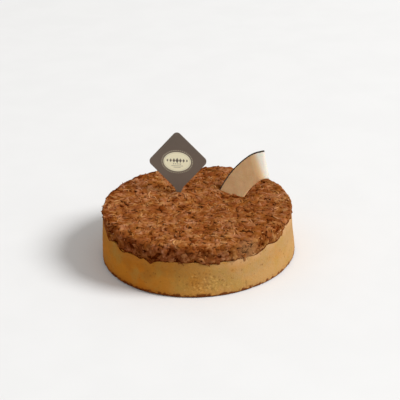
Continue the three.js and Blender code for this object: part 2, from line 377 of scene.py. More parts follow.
def scoreLine(spec, angle, height):
    # 1 along a short upright cut in the wall, and 0 away from it
    score = spec["score"]
    off = (angle - math.radians(score["angle"]) % (2 * math.pi)) * spec["baseRadius"]
    line = np.exp(-(off / (score["width"] * mm)) ** 2)
    line = line * smooth(height, score["low"] * mm, 1.3 * score["low"] * mm)
    return line * (1 - smooth(height, 0.7 * score["high"] * mm, score["high"] * mm))


def underRings(rim, lift):
    # the hidden face between crust and coconut, as (radius, height) from the rim inwards
    heart = crust["heart"] + lift
    return [(76.4 * mm, rim + 0.3 * mm + lift), (74.5 * mm, rim - 0.5 * mm + lift),
            (66 * mm, 0.7 * rim + 0.3 * heart - 0.4 * mm), (38 * mm, 0.25 * rim + 0.75 * heart)]


def makeCrust(spec):
    angle, height, radius = crustWall(spec)
    rise, dark, pale = crustMarks(spec, angle, height)
    places = np.stack([radius * np.cos(angle), radius * np.sin(angle), height], -1)
    rise += spec["wave"] * bumps(places, spec["waveSize"], 2, 3)
    rise += spec["grain"] * bumps(places, spec["grainSize"], 3, 5)
    crumbly = np.exp(-((height - spec["baseRounding"]) / spec["crumbleReach"]) ** 2)
    rise += spec["crumble"] * crumbly * (bumps(places, spec["crumbleSize"], 3, 8) - 0.3)
    line = scoreLine(spec, angle, height)
    radius = np.minimum(radius + rise - spec["score"]["depth"] * mm * line, spec["baseRadius"])

    foot = []  # the rounded edge under the wall, from the flat base outwards
    for turn in (0, 25, 50, 70):
        out = spec["baseRounding"] * math.sin(math.radians(turn))
        up = spec["baseRounding"] * (1 - math.cos(math.radians(turn)))
        foot.append((radius[0] - spec["baseRounding"] + out, np.full(spec["columns"], up)))
    rim = height[-1]
    over = [(np.full(spec["columns"], r), z) for r, z in underRings(rim, 0)]
    allRadius = np.vstack([[r for r, z in foot], radius, [r for r, z in over]])
    allHeight = np.vstack([[z for r, z in foot], height, [z for r, z in over]])
    allAngle = np.broadcast_to(angle[0], allRadius.shape)
    corners = np.stack([allRadius * np.cos(allAngle), allRadius * np.sin(allAngle), allHeight], -1)
    corners = np.vstack([corners.reshape(-1, 3), [[0, 0, 0], [0, 0, spec["heart"]]]])
    nearRim = 1 - smooth(rim[None] - allHeight, *spec["nearRim"])
    plain = np.zeros((4, spec["columns"]))
    # the hollow mark holds the dark bits' own colour and painted shade in deep pits, dug crumbs and the
    # score line
    hollow = np.maximum(dark, spec["score"]["tone"] * line)
    marks = {name: np.append(np.vstack([plain, values, plain]).ravel(), [0, 0])
             for name, values in (("hollow", hollow), ("crumb", pale))}
    marks["nearRim"] = np.append(nearRim.ravel(), [0, 1])
    return makePiece("shortcrust", corners, ringFaces(len(allRadius), spec["columns"]), marks)


def crustMaterial(spec):
    material, tree, shader = startMaterial("bakedShortcrust", Specular_IOR_Level=0.05)
    toRight, _, height = splitPlace(tree)
    sway = maths(tree, "SUBTRACT", place(tree, "mottle", **spec["sway"]), 0.5)
    sway = times(tree, sway, spec["swayReach"])
    swayed = maths(tree, "ADD", toRight, sway)
    # painted light and shade: the wall's colour by X, and darker on the upper wall on the left and front
    low, high = (rampAlong(tree, swayed, spec[name]) for name in ("low", "high"))
    upper = rescale(tree, maths(tree, "ADD", height, sway), *spec["upperShadeFrom"])
    colour = mixColours(tree, upper, low, high)
    olive = times(tree, place(tree, "mottle", **spec["olivePatches"]), spec["oliveShare"])
    colour = mixColours(tree, olive, colour, spec["olive"])
    toasty = times(tree, place(tree, "mottle", **spec["toastedPatches"]),
                   rescale(tree, toRight, *spec["toastedAlongX"]))
    colour = mixColours(tree, toasty, colour, spec["toasted"])
    band = times(tree, readMark(tree, "nearRim"), place(tree, "mottle", **spec["rosyPatches"]))
    band = times(tree, band, rescale(tree, toRight, *spec["rosyAlongX"]))
    colour = mixColours(tree, band, colour, spec["rosy"])
    fine = place(tree, "mottle", **spec["fine"])
    colour = mixColours(tree, times(tree, fine, spec["fineShare"]), colour, spec["toasted"])
    glow = times(tree, rescale(tree, height, *spec["glowAlongZ"]),
                 rescale(tree, toRight, *spec["glowAlongX"]))
    colour = mixColours(tree, glow, colour, spec["footGlow"])
    specks = times(tree, place(tree, "specks", **spec["specks"]), spec["speckShare"])
    colour = mixColours(tree, specks, colour, spec["speckAndHollowShade"])
    # painted shade in the hollows, together with the dark bits' own colour
    hollow = times(tree, readMark(tree, "hollow"), spec["bitsAndHollowShadeShare"], clamp=True)
    colour = mixColours(tree, hollow, colour, spec["speckAndHollowShade"])
    crumb = times(tree, readMark(tree, "crumb"), spec["crumbShare"], clamp=True)
    colour = mixColours(tree, crumb, colour, spec["crumb"])
    # the ragged dark foot: a browned edge with painted contact shadow
    ragged = times(tree, place(tree, "mottle", **spec["raggedFoot"]), spec["raggedReach"])
    brownedAndShaded = rescale(tree, maths(tree, "SUBTRACT", height, ragged), *spec["footBrownAndShadeAlongZ"])
    colour = mixColours(tree, brownedAndShaded, colour, spec["foot"])
    tree.links.new(colour, shader.inputs["Base Color"])
    tree.links.new(rescale(tree, fine, 0, 1, *spec["roughness"]), shader.inputs["Roughness"])
    addBump(tree, shader, place(tree, "grain", Size=0.9), spec["grainBump"])
    return material


crustPiece = makeCrust(crust)
wear(crustPiece, crustMaterial(crust))
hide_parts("crust")
print("crust made:", len(crustPiece.data.polygons), "faces")


# the form that the coconut lies in

coconut = {
    "radius": 77.6 * mm,
    "rounding": 5.5 * mm, "rightRounding": 3.4 * mm,  # of its upper edge, tighter towards +X
    "lipRadius": 78.05 * mm, "lipWidth": 1.65 * mm, "lowered": 0.4 * mm,
    "overCrust": 0.55 * mm,  # how far what hangs below the rim stands off the crust's wall
    "reach": 78.7 * mm,  # of its widest flakes
    # where its lower edge dips or rises: degrees round, millimetres down, half width in degrees
    "sags": ((-156, 2.0, 1.8), (-147.5, -2.6, 2.2), (-134, -2.6, 4.0), (-126.5, 1.0, 2.0),
             (-49, 1.4, 2.5)),
    "lump": 0.75 * mm, "lumpSize": 8 * mm,
    "mound": 0.8 * mm, "moundReach": 6 * mm,  # pushed up round the tag's stake
    "columns": 600, "rows": 148,
    "sunk": 0.05 * mm,  # of the core under its flakes
    "hem": (0.4 * mm, 1.4 * mm),  # painted contact shadow: the dark line along its lower edge
    # the core's forms, crags and rifts on its side only: size, height and how much lighter they are; raised
    # forms are painted lighter as painted light, and pits, creases, rifts and the lower edge darker as
    # painted shade
    "sizes": {"relief": 4.8 * mm, "crag": 6 * mm, "crease": 6.5 * mm, "rift": 3.2 * mm},
    "heights": {"relief": 0.45 * mm, "crag": 1.0 * mm, "pit": -1.3 * mm, "crease": -0.35 * mm,
                "rift": -0.5 * mm},
    "lightAndShadeTones": {"relief": 0.2, "pit": -0.5, "crease": -0.15, "crag": 0.3, "hem": -0.4, "rift": -0.3},
    # colours by tone, and patches of tone: millimetres, depth, seed
    "dark": (0.105, 0.0165, 0.0010, 1), "mid": (0.275, 0.087, 0.0195, 1),
    "light": (0.54, 0.255, 0.103, 1), "toneStops": (0.1, 0.5, 0.98),
    "patches": ((2.4, 0.14, 0), (9, 0.34, 3), (20, 0.17, 8)),
    "rich": (0.270, 0.064, 0.010, 1), "richShare": 0.35,
    "richPatches": {"Size": 9, "Low": 0.45, "High": 0.7, "Seed": 6},
    "burnt": (0.170, 0.034, 0.0040, 1), "burntAlongX": (0.035, -0.01, 0.0, 0.5),  # on the upper edge
    "burntPatches": {"Size": 7, "Low": 0.2, "High": 0.55, "Seed": 15},
    "pale": (0.50, 0.235, 0.095, 1), "paleShare": 0.42,  # painted light: a paler stretch of edge and side at the front right, facing the key light
    "paleFromX": (0.026, 0.036), "paleToX": (0.040, 0.048), "paleAlongY": (-0.03, -0.05),
    # tints of all these: in patches, and along X on its side and its top; the side's tint is partly its own
    # darker colour and partly painted shade, darkest on the left and front away from the key light
    "honey": (1.0, 1.03, 0.80, 1), "rosy": (1.0, 0.97, 1.22, 1),
    "tintPatches": {"Size": 7, "Low": 0.3, "High": 0.7, "Seed": 21},
    "side": {-0.062: (0.72, 0.59, 0.52, 1), -0.044: (0.56, 0.44, 0.42, 1), -0.026: (0.78, 0.71, 0.78, 1),
             0.000: (0.70, 0.66, 0.72, 1), 0.040: (0.78, 0.86, 0.90, 1), 0.056: (0.77, 0.85, 0.90, 1)},
    "top": {-0.030: (0.99, 1.01, 1.05, 1), 0.045: (0.90, 0.90, 0.91, 1)},
    "gloss": (1.0, 0.50, 0.22, 1), "wetByTone": (0.4, 0.75, 0.0, 0.07), "wetOnTop": (0.2, 1.0, 0.2, 1.0),
    "smoothPatches": {"Size": 4, "Low": 0.4, "High": 0.6, "Seed": 12}, "roughness": (0.6, 0.38),
    "grainBump": 0.16 * mm,
}

# millimetres and degrees; held is the width that stands in the coconut
tagPlace = {"foot": (-14.4, 19.2, 43.5), "lean": 12, "yaw": -12.5, "held": 6.4}
slicePlace = {"foot": (20.9, 26.6, 43.5), "lean": 35.5, "yaw": -42.2, "held": 26.6}
packedLip = ringHeight("coconut_layer", coconut["lipRadius"])


def readLevels(step=5 * mm, reach=4 * mm):
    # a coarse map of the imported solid's top, without its lumps
    corners = cornersOf("coconut_layer")
    away = np.hypot(corners[:, 0], corners[:, 1])
    top = corners[(corners[:, 2] > 40 * mm) & (away < 73 * mm)]
    line = np.arange(-85 * mm, 85.1 * mm, step)
    levels = np.empty((len(line), len(line)))
    for i, x in enumerate(line):
        for j, y in enumerate(line):
            far = np.hypot(top[:, 0] - x, top[:, 1] - y)
            weight = np.exp(-(far ** 2 - far.min() ** 2) / (2 * reach ** 2))
            levels[i, j] = (weight * top[:, 2]).sum() / weight.sum()
    return line, levels - coconut["lowered"]


levelLine, levels = readLevels()


def topLevel(x, y):
    step = levelLine[1] - levelLine[0]
    i = np.clip((x - levelLine[0]) / step, 0, len(levelLine) - 1.001)
    j = np.clip((y - levelLine[0]) / step, 0, len(levelLine) - 1.001)
    a, b = i.astype(int), j.astype(int)
    s, t = i - a, j - b
    near = (1 - t) * levels[a, b] + t * levels[a, b + 1]
    far = (1 - t) * levels[a + 1, b] + t * levels[a + 1, b + 1]
    return (1 - s) * near + s * far


def lipHeight(angle):
    height = packedLip(angle)
    for at, drop, width in coconut["sags"]:
        off = (np.degrees(angle) - at + 180) % 360 - 180
        height = height - drop * mm * np.exp(-(off / width) ** 2)
    return height


def sectionAt(angle):
    # the coconut's side at this angle: where it starts and ends, and how far its edge is rounded
    edge = coconut["radius"]
    low = lipHeight(angle)
    high = topLevel(edge * np.cos(angle), edge * np.sin(angle))
    toRight = smooth(np.cos(angle), 0.4, 0.95)
    rounding = coconut["rounding"] + (coconut["rightRounding"] - coconut["rounding"]) * toRight
    return low, high, np.minimum(rounding, 0.6 * (high - low))


def layerLength(angle):
    low, high, rounding = sectionAt(angle)
    return high - low + (0.5 * math.pi - 2) * rounding + coconut["radius"]


def edgeShare(angle, along):
    # 1 on the rounded edge between the coconut's side and its top, and 0 away from it
    low, high, rounding = sectionAt(angle)
    past = (along - (high - low - rounding)) / rounding
    return smooth(past, -0.1, 0.35) * (1 - smooth(past, 0.7, 1.4))


def overCrust(points, angle):
    # keeps what hangs below the crust's rim outside its wall
    up = (points[..., 2] - crust["baseRounding"]) / (rimHeight(angle) - crust["baseRounding"])
    wall = crust["baseRadius"] + up * (crust["wallRadius"] - crust["baseRadius"]) + coconut["overCrust"]
    grow = np.maximum(wall / np.hypot(points[..., 0], points[..., 1]), 1) - 1
    grow = 1 + grow * smooth(1 - up, 0, 0.03)
    return points * np.stack([grow, grow, np.ones_like(grow)], -1)


def layerPoint(angle, along, lumpy=True):
    # along runs up the coconut's side from its lip, over the rounded edge and in to the middle
    low, high, rounding = sectionAt(angle)
    straight = high - low - rounding
    turn = np.clip((along - straight) / rounding, 0, 0.5 * math.pi)
    inwards = np.clip(along - straight - 0.5 * math.pi * rounding, 0, None)
    radius = coconut["radius"] - rounding * (1 - np.cos(turn)) - inwards
    height = low + np.minimum(along, straight) + rounding * np.sin(turn)
    wide = radius + rounding
    height = height + np.where(inwards > 0, topLevel(wide * np.cos(angle), wide * np.sin(angle)) - high, 0)
    stakeX, stakeY = (value * mm for value in tagPlace["foot"][:2])
    away = np.hypot(radius * np.cos(angle) - stakeX, radius * np.sin(angle) - stakeY)
    height = height + coconut["mound"] * np.exp(-(away / coconut["moundReach"]) ** 2)
    point = np.stack([radius * np.cos(angle), radius * np.sin(angle), height], -1)
    if not lumpy:
        return point
    out = np.stack([np.cos(turn) * np.cos(angle), np.cos(turn) * np.sin(angle), np.sin(turn)], -1)
    lump = bumps(point, coconut["lumpSize"], 2, 11)
    return overCrust(point + out * (coconut["lump"] * lump)[..., None], angle)


def layerFrame(angle, along):
    # where a flake lies: its place, the ways round and in along the surface, and the way out of it
    step = 1.5 * mm
    point = layerPoint(angle, along)
    turned = angle + step / np.maximum(np.hypot(point[:, 0], point[:, 1]), 4 * mm)
    around = unit(layerPoint(turned, along) - point)
    inward = layerPoint(angle, along + step) - point
    outward = unit(np.cross(around, inward))
    return point, around, np.cross(outward, around), outward


def scatter(count):
    # places spread evenly over the coconut's side and top
    angle = between(0, 2 * math.pi, 4 * count)
    along = between(0, 1, 4 * count) * layerLength(angle)
    point = layerPoint(angle, along, lumpy=False)
    kept = between(0, 1, 4 * count) < np.hypot(point[:, 0], point[:, 1]) / coconut["radius"]
    return angle[kept][:count], along[kept][:count]


# pits between the flakes

pits = {"count": 540, "width": (0.7, 1.5), "links": 4, "step": 0.9 * mm, "narrower": 0.85,
        "bend": 0.6, "ragged": 0.7 * mm, "raggedSize": 2.4 * mm}


def digPits(spec):
    # each pit is a short crooked chain of round hollows
    angle, along = scatter(spec["count"])
    point, around, inward, _ = layerFrame(angle, along)
    way, width = between(0, 2 * math.pi, len(angle)), between(*spec["width"], len(angle)) * mm
    hollows, widths = [], []
    for link in range(spec["links"]):
        made = between(0, 1, len(angle)) < 1 - link / spec["links"]
        hollows.append(point[made])
        widths.append(width[made])
        way = way + rng.normal(0, spec["bend"], len(angle))
        point = point + spec["step"] * (np.cos(way)[:, None] * around + np.sin(way)[:, None] * inward)
        width = spec["narrower"] * width
    hollows = np.concatenate(hollows)
    tree = kdtree.KDTree(len(hollows))
    for number, hollow in enumerate(hollows):
        tree.insert(hollow, number)
    tree.balance()
    return tree, np.concatenate(widths)


pitTree, pitWidths = digPits(pits)


def pitShare(points):
    # 1 in the middle of a pit and 0 outside it, for each point
    shares = np.zeros(points.shape[:-1])
    for i in np.ndindex(shares.shape):
        point = Vector(points[i])
        sway = noise.noise_vector(point / pits["raggedSize"]) * pits["ragged"]
        for _, number, away in pitTree.find_range(point + sway, pits["width"][1] * mm):
            shares[i] = max(shares[i], 1 - smooth(away, 0.35 * pitWidths[number], pitWidths[number]))
    return shares


def cracks(points, size, seed, width):
    # 1 along the thin lines where a smooth random number is zero
    return 1 - smooth(np.abs(bumps(points, size, 2, seed)), 0.02, width)


def coreForms(spec, points, along, upright):
    sizes = spec["sizes"]
    return {"relief": bumps(points, sizes["relief"], 3, 17),
            "crag": bumps(points, sizes["crag"], 2, 37) * (1 - upright),
            "pit": pitShare(points),
            "crease": cracks(points, sizes["crease"], 19, 0.13),
            "rift": cracks(points * (1, 1, 0.5), sizes["rift"], 43, 0.12) * (1 - upright),
            "hem": 1 - smooth(along, *spec["hem"])}


def makeCore(spec):
    angle = np.linspace(0, 2 * math.pi, spec["columns"], endpoint=False)
    share = np.linspace(0, 0.994, spec["rows"])[:, None]
    along = share * layerLength(angle)[None]
    angles = np.broadcast_to(angle, along.shape)
    points = layerPoint(angles, along)
    upright = smooth(share, 0.1, 0.2) + 0 * along  # 0 on the side, 1 on the top
    forms = coreForms(spec, points, along, upright)
    pull = sum(height * forms[name] for name, height in spec["heights"].items()) - spec["sunk"]
    # painted light on raised forms and painted shade in pits, creases, rifts and along the lower edge
    tone = 0.5 + sum(lighter * forms[name] for name, lighter in spec["lightAndShadeTones"].items())
    shrink = 1 + (1 - upright) * pull / spec["radius"]
    points = points * np.stack([shrink, shrink, np.ones_like(shrink)], -1)
    points[..., 2] += upright * pull
    points = overCrust(points, angles)

    gap = 0.4 * mm  # between the core's hidden face and the crust's
    under = [(spec["lipRadius"] - spec["lipWidth"], points[0, :, 2])] + underRings(rimHeight(angle), gap)
    rings = [np.stack([r * np.cos(angle), r * np.sin(angle), z], -1) for r, z in under]
    grid = np.concatenate([np.array(rings)[::-1], points])
    corners = np.vstack([grid.reshape(-1, 3), [[0, 0, crust["heart"] + gap], points[-1].mean(0)]])
    plain = np.zeros((len(under), spec["columns"]))
    marks = {"tone": (tone, 0.4), "top": (upright, 1), "edge": (edgeShare(angle[None], along), 0)}
    marks = {name: np.append(np.concatenate([plain, values]).ravel(), [0, last])
             for name, (values, last) in marks.items()}
    return makePiece("coconutCore", corners, ringFaces(len(grid), spec["columns"]), marks)


core = makeCore(coconut)
print("coconut core made:", len(core.data.polygons), "faces")


# flakes, shreds and crumbs of coconut

flakes = {
    "count": 1300,  # before some in pits, on the side and beside the tag and slice are left out
    "length": (5.5, 11), "width": (2.4, 5.0), "thickness": (0.5, 0.8),  # millimetres
    "lift": (-0.6, 0.0), "sway": (-1.2, 1.2), "cup": (-0.5, 0.0), "twist": (-0.15, 0.15),
    "tilt": 0.075, "height": (-0.45, 0.15), "edgeSink": 0.15, "blunt": 0.5,
    "pitShy": 0.3, "sideShy": 0.4, "tone": 0.49, "spread": 0.08,
}
shreds = {
    "count": 1600, "length": (4.5, 9.0), "width": (1.1, 2.1), "thickness": (0.5, 0.8),
    "lift": (-0.7, 0.0), "sway": (-1.8, 1.8), "cup": (-0.15, 0.0), "twist": (-0.25, 0.25),
    "tilt": 0.06, "height": (-0.35, 0.25), "edgeSink": 0.25, "blunt": 0.65,
    "pitShy": 0.5, "sideShy": 0.6, "tone": 0.61, "spread": 0.11,
}
crumbs = {"count": 350, "size": (0.35, 0.75), "stretch": (0.6, 1.5), "uneven": 0.25,
          "height": (-0.3, 0.3), "tone": 0.58, "spread": 0.15}
matted = {
    "upright": (0.05, 0.45),  # how far the surface faces up, from the coconut's side to its top
    "edge": (70 * mm, 76 * mm), "sideTurn": 0.6, "edgeTurn": 0.5,  # radians off the way round
    "edgeShorter": 0.3, "edgeFlatter": 0.6, "edgeDroop": 0.012,
    # high pieces are painted lighter, as painted light
    "raisedLight": 0.16, "lowestTone": 0.08, "endTone": 0.1,
    "beside": (4 * mm, 5 * mm), "clear": (2.5 * mm, 0.7 * mm),  # of the tag and slice, along and aside
}
strip = {"stations": 6, "section": ((-1, 0), (-0.6, 1), (0.6, 1), (1, 0), (0.6, -1), (-0.6, -1)),
         "uneven": 0.13, "thinEnds": 0.45}


def wayOf(spec):
    return Vector((math.cos(math.radians(spec["yaw"])), math.sin(math.radians(spec["yaw"]))))


def footLines():
    # where the tag and the slice enter the coconut, as (middle, direction, half length)
    stake, half = 0.5 * tagPlace["held"] * mm, 0.5 * slicePlace["held"] * mm
    return [(Vector(tagPlace["foot"][:2]) * mm, wayOf(tagPlace), stake),
            (Vector(slicePlace["foot"][:2]) * mm + wayOf(slicePlace) * half, wayOf(slicePlace), half)]


def clearOf(point, way, around, inward, width):
    # turns the pieces beside the tag and slice along them, and says which of them may stay
    stays = np.ones(len(point), bool)
    for middle, line, half in footLines():
        off = point[:, :2] - np.array(middle)
        run = np.abs(off @ np.array(line)) - half
        aside = np.abs(off @ np.array((-line.y, line.x)))
        beside = (run < matted["beside"][0]) & (aside < matted["beside"][1])
        turned = np.arctan2(inward[:, :2] @ np.array(line), around[:, :2] @ np.array(line))
        way = np.where(beside, turned, way)
        near = (run < matted["clear"][0]) & (aside < 0.5 * width + matted["clear"][1])
        stays &= ~(beside & near)
    return way, stays


def toneOf(spec, height):
    # how light each piece is, the high ones painted lighter as painted light
    tone = spec["tone"] + spec["spread"] * rng.normal(0, 1, len(height)) + matted["raisedLight"] * height
    return np.clip(tone, matted["lowestTone"], 1)


def stripFaces(count, stations):
    # faces of count strips, each of six-sided rings with a cap at both ends
    ring = np.arange(6)
    one = [[6 * s + a, 6 * s + b, 6 * s + 6 + b, 6 * s + 6 + a]
           for s in range(stations - 1) for a, b in zip(ring, np.roll(ring, -1))]
    caps = np.array([ring[::-1], ring + 6 * (stations - 1)])
    starts = 6 * stations * np.arange(count)[:, None, None]
    return (starts + np.array(one)).reshape(-1, 4).tolist() + (starts + caps).reshape(-1, 6).tolist()


def stripShape(spec, drawn):
    # how far each corner lies ahead, across and up from the middle of its strip
    length, width, thickness, lift, sway, cup, twist, height = np.array(drawn)[..., None, None]
    u = np.linspace(-1, 1, strip["stations"])[:, None]
    p, q = np.array(strip["section"]).T
    ends = np.abs(u) ** 3
    wide = 0.5 * width * (1 - spec["blunt"] * ends)
    wide = wide * (1 + strip["uneven"] * rng.normal(0, 1, (len(width), len(u), 1)))
    thick = 0.5 * thickness * (1 - strip["thinEnds"] * ends)
    roll = twist * u
    x = 0.5 * length * u + 0 * p
    y = wide * p * np.cos(roll) - thick * q * np.sin(roll) + sway * u ** 2
    z = wide * p * np.sin(roll) + thick * q * np.cos(roll) + lift * u ** 2
    return x, y, z + cup * p ** 2 + height, ends[:, 0]


def makeStrips(name, spec):
    angle, along = scatter(spec["count"])
    point, around, inward, outward = layerFrame(angle, along)
    count = len(point)
    onSide = 1 - smooth(outward[:, 2], *matted["upright"])
    nearEdge = smooth(np.hypot(point[:, 0], point[:, 1]), *matted["edge"])
    outer = np.maximum(onSide, nearEdge)
    way = np.where(onSide > 0.5, rng.normal(0, matted["sideTurn"], count), between(0, 2 * math.pi, count))
    way = np.where((nearEdge > 0.5) & (onSide < 0.5), rng.normal(0, matted["edgeTurn"], count), way)
    lengths = ("length", "width", "thickness", "lift", "sway", "cup")
    length, width, thickness, lift, sway, cup = [between(*spec[part], count) * mm for part in lengths]
    twist, height = between(*spec["twist"], count), between(*spec["height"], count)
    height = height - spec["edgeSink"] * outer
    length = length * (1 - matted["edgeShorter"] * outer)
    droop = -matted["edgeDroop"] * length ** 2 / mm
    lift = np.where(nearEdge > 0.5, np.minimum(lift, droop), lift)
    way, stays = clearOf(point, way, around, inward, width)
    stays &= between(0, 1, count) > spec["sideShy"] * onSide
    tilt = spec["tilt"] * (1 - matted["edgeFlatter"] * outer)
    ahead = unit(np.cos(way)[:, None] * around + np.sin(way)[:, None] * inward
                 + outward * (tilt * rng.normal(0, 1, count))[:, None])
    for part in (-0.32, 0, 0.32):
        stays &= pitShare(point + ahead * (part * length)[:, None]) < spec["pitShy"]
    across = unit(np.cross(outward, ahead) + outward * (tilt * rng.normal(0, 1, count))[:, None])

    drawn = (length, width, thickness, lift, sway, cup, twist, height * mm)
    x, y, z, ends = stripShape(spec, drawn)
    ways = [vectors[:, None, None] for vectors in (point, ahead, across, np.cross(ahead, across))]
    corners = ways[0] + x[..., None] * ways[1] + y[..., None] * ways[2] + z[..., None] * ways[3]
    corners = corners[stays]
    reach = np.hypot(corners[..., 0], corners[..., 1])
    corners[..., :2] *= np.minimum(1, coconut["reach"] / reach)[..., None]
    tone = (toneOf(spec, height)[:, None] - matted["endTone"] * ends)[stays]
    perStrip = 6 * strip["stations"]
    marks = {"tone": np.repeat(tone.ravel(), 6), "top": np.repeat(1 - onSide[stays], perStrip),
             "edge": np.repeat(edgeShare(angle, along)[stays], perStrip)}
    faces = stripFaces(len(corners), strip["stations"])
    return makePiece(name, corners.reshape(-1, 3), faces, marks)


def icosahedron():
    g = (1 + 5 ** 0.5) / 2
    corners = np.array([(-1, g, 0), (1, g, 0), (-1, -g, 0), (1, -g, 0), (0, -1, g), (0, 1, g),
                        (0, -1, -g), (0, 1, -g), (g, 0, -1), (g, 0, 1), (-g, 0, -1), (-g, 0, 1)])
    faces = [(0, 11, 5), (0, 5, 1), (0, 1, 7), (0, 7, 10), (0, 10, 11), (1, 5, 9), (5, 11, 4), (11, 10, 2),
             (10, 7, 6), (7, 1, 8), (3, 9, 4), (3, 4, 2), (3, 2, 6), (3, 6, 8), (3, 8, 9), (4, 9, 5),
             (2, 4, 11), (6, 2, 10), (8, 6, 7), (9, 8, 1)]
    return corners / np.linalg.norm(corners[0]), np.array(faces)


def makeCrumbs(name, spec):
    ball, sides = icosahedron()
    angle, along = scatter(spec["count"])
    point, around, inward, outward = layerFrame(angle, along)
    count = len(point)
    height = between(*spec["height"], count)
    onSide = 1 - smooth(outward[:, 2], *matted["upright"])
    size = between(*spec["size"], count) * mm
    shape = ball[None] * between(*spec["stretch"], (count, 1, 3))
    shape = shape * (1 + spec["uneven"] * rng.normal(0, 1, (count, 12, 1))) * size[:, None, None]
    centre = point + outward * (height * mm)[:, None]
    _, stays = clearOf(point, np.zeros(count), around, inward, 2 * size)
    corners = (centre[:, None] + shape)[stays]
    faces = (12 * np.arange(len(corners))[:, None, None] + sides[None]).reshape(-1, 3).tolist()
    marks = {"tone": toneOf(spec, height), "top": 1 - onSide, "edge": edgeShare(angle, along)}
    marks = {name: np.repeat(values[stays], 12) for name, values in marks.items()}
    return makePiece(name, corners.reshape(-1, 3), faces, marks)


def coconutTones(tree, spec, level):
    # the colour for each tone
    ramp = addNode(tree, "ValToRGB")
    stops = ramp.color_ramp.elements
    stops.new(spec["toneStops"][1])
    for stop, at, name in zip(stops, spec["toneStops"], ("dark", "mid", "light")):
        stop.position, stop.color = at, spec[name]
    tree.links.new(level, ramp.inputs[0])
    return ramp.outputs[0]


# painted light on the edge and side at the front right
def paintedLightStretch(tree, spec, toRight, back, top):
    pale = times(tree, rescale(tree, toRight, *spec["paleFromX"]),
                 rescale(tree, toRight, *spec["paleToX"], spec["paleShare"], 0.0))
    sideOrEdge = maths(tree, "MAXIMUM", readMark(tree, "edge"), rescale(tree, top, 0.0, 0.5, 1.0, 0.0))
    return times(tree, times(tree, pale, sideOrEdge), rescale(tree, back, *spec["paleAlongY"]))


def coconutMaterial(spec):
    material, tree, shader = startMaterial("brownedCoconut", Specular_Tint=spec["gloss"])
    toRight, back, _ = splitPlace(tree)
    top, level = readMark(tree, "top"), readMark(tree, "tone")
    for size, depth, seed in spec["patches"]:
        patch = place(tree, "mottle", Size=size, Low=0.25, High=0.75, Seed=seed)
        level = maths(tree, "ADD", level, times(tree, maths(tree, "SUBTRACT", patch, 0.5), depth))
    colour = coconutTones(tree, spec, level)
    redder = times(tree, place(tree, "mottle", **spec["richPatches"]), spec["richShare"])
    colour = mixColours(tree, redder, colour, spec["rich"])
    hue = mixColours(tree, place(tree, "mottle", **spec["tintPatches"]), spec["honey"], spec["rosy"])
    colour = mixColours(tree, 1.0, colour, hue, "MULTIPLY")
    rim = times(tree, readMark(tree, "edge"), place(tree, "mottle", **spec["burntPatches"]))
    rim = times(tree, rim, rescale(tree, toRight, *spec["burntAlongX"]))
    colour = mixColours(tree, rim, colour, spec["burnt"])
    colour = mixColours(tree, paintedLightStretch(tree, spec, toRight, back, top), colour, spec["pale"])
    # the side darker than the top: partly its own colour, partly painted shade
    topTint, sideShadeTint = (rampAlong(tree, toRight, spec[name]) for name in ("top", "side"))
    sideShadeAndTopTint = mixColours(tree, rescale(tree, top, 0.0, 0.8), sideShadeTint, topTint)
    colour = mixColours(tree, 1.0, colour, sideShadeAndTopTint, "MULTIPLY")
    tree.links.new(colour, shader.inputs["Base Color"])
    wet = times(tree, rescale(tree, level, *spec["wetByTone"]), rescale(tree, top, *spec["wetOnTop"]))
    tree.links.new(wet, shader.inputs["Specular IOR Level"])
    gloss = place(tree, "mottle", **spec["smoothPatches"])
    tree.links.new(rescale(tree, gloss, 0, 1, *spec["roughness"]), shader.inputs["Roughness"])
    addBump(tree, shader, place(tree, "grain", Size=1.2, Roughness=0.55), spec["grainBump"])
    return material


brownedCoconut = coconutMaterial(coconut)
layerPieces = [core, makeStrips("coconutFlakes", flakes), makeStrips("coconutShreds", shreds),
               makeCrumbs("coconutCrumbs", crumbs)]
for piece in layerPieces:
    wear(piece, brownedCoconut)
    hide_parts("coconut_layer")
    print(piece.name, "made:", len(piece.data.polygons), "faces")


# tag

tag = {
    "side": 36.5 * mm, "corner": 4 * mm, "thickness": 0.9 * mm, "middle": 28 * mm, "roll": 2,
    "stakeWidth": 7.6 * mm, "neckWidth": 3.6 * mm, "neckHeight": 1.8 * mm, "tipWidth": 1.2 * mm,
    "stakeDepth": 8 * mm, "bevel": 0.18 * mm,
    "taupe": (0.118, 0.088, 0.066, 1), "taupeLight": (0.176, 0.130, 0.097, 1),
    # the lower part lighter and warmer, as painted reflection of the coconut below
    "reflectionAlongY": (48 * mm, 14 * mm, 0.15, 0.75),
    "lighterPatches": {"Size": 30, "Low": 0.3, "High": 0.7}, "patchShare": 0.25,
    "cream": (1.0, 0.95, 0.68, 1), "ink": (0.06, 0.04, 0.028, 1), "roughness": (0.38, 0.48),
    # the print, in millimetres in the tag's own plane; soft is where a mark's edge starts and ends, in
    # shares of its size, or in millimetres for the rules
    "oval": {"centre": (-1.5, 27.6), "radii": (11.7, 8.15)},
    "pearls": {"out": 1.3, "count": 44, "radius": 0.36, "strength": 0.7},
    "hairline": {"in": 0.8, "width": 0.022, "strength": 0.4},  # its width as a share of the oval
    "lozenges": {"up": 1.0, "step": 2.75, "heights": (2.3, 1.9, 1.6, 1.2), "slim": 0.66,
                 "soft": (0.85, 1.1), "strength": 0.9},
    "dots": {"up": -1.9, "step": 1.5, "each": 2, "radius": 0.38,  # each is how many on both sides
             "soft": (0.8, 1.2), "strength": 0.85},
    "rules": {"lines": ((-3.5, 4.8), (-4.7, 2.8)),  # up, half length
              "soft": (0.12, 0.26), "end": 0.3, "strength": 0.7},
}


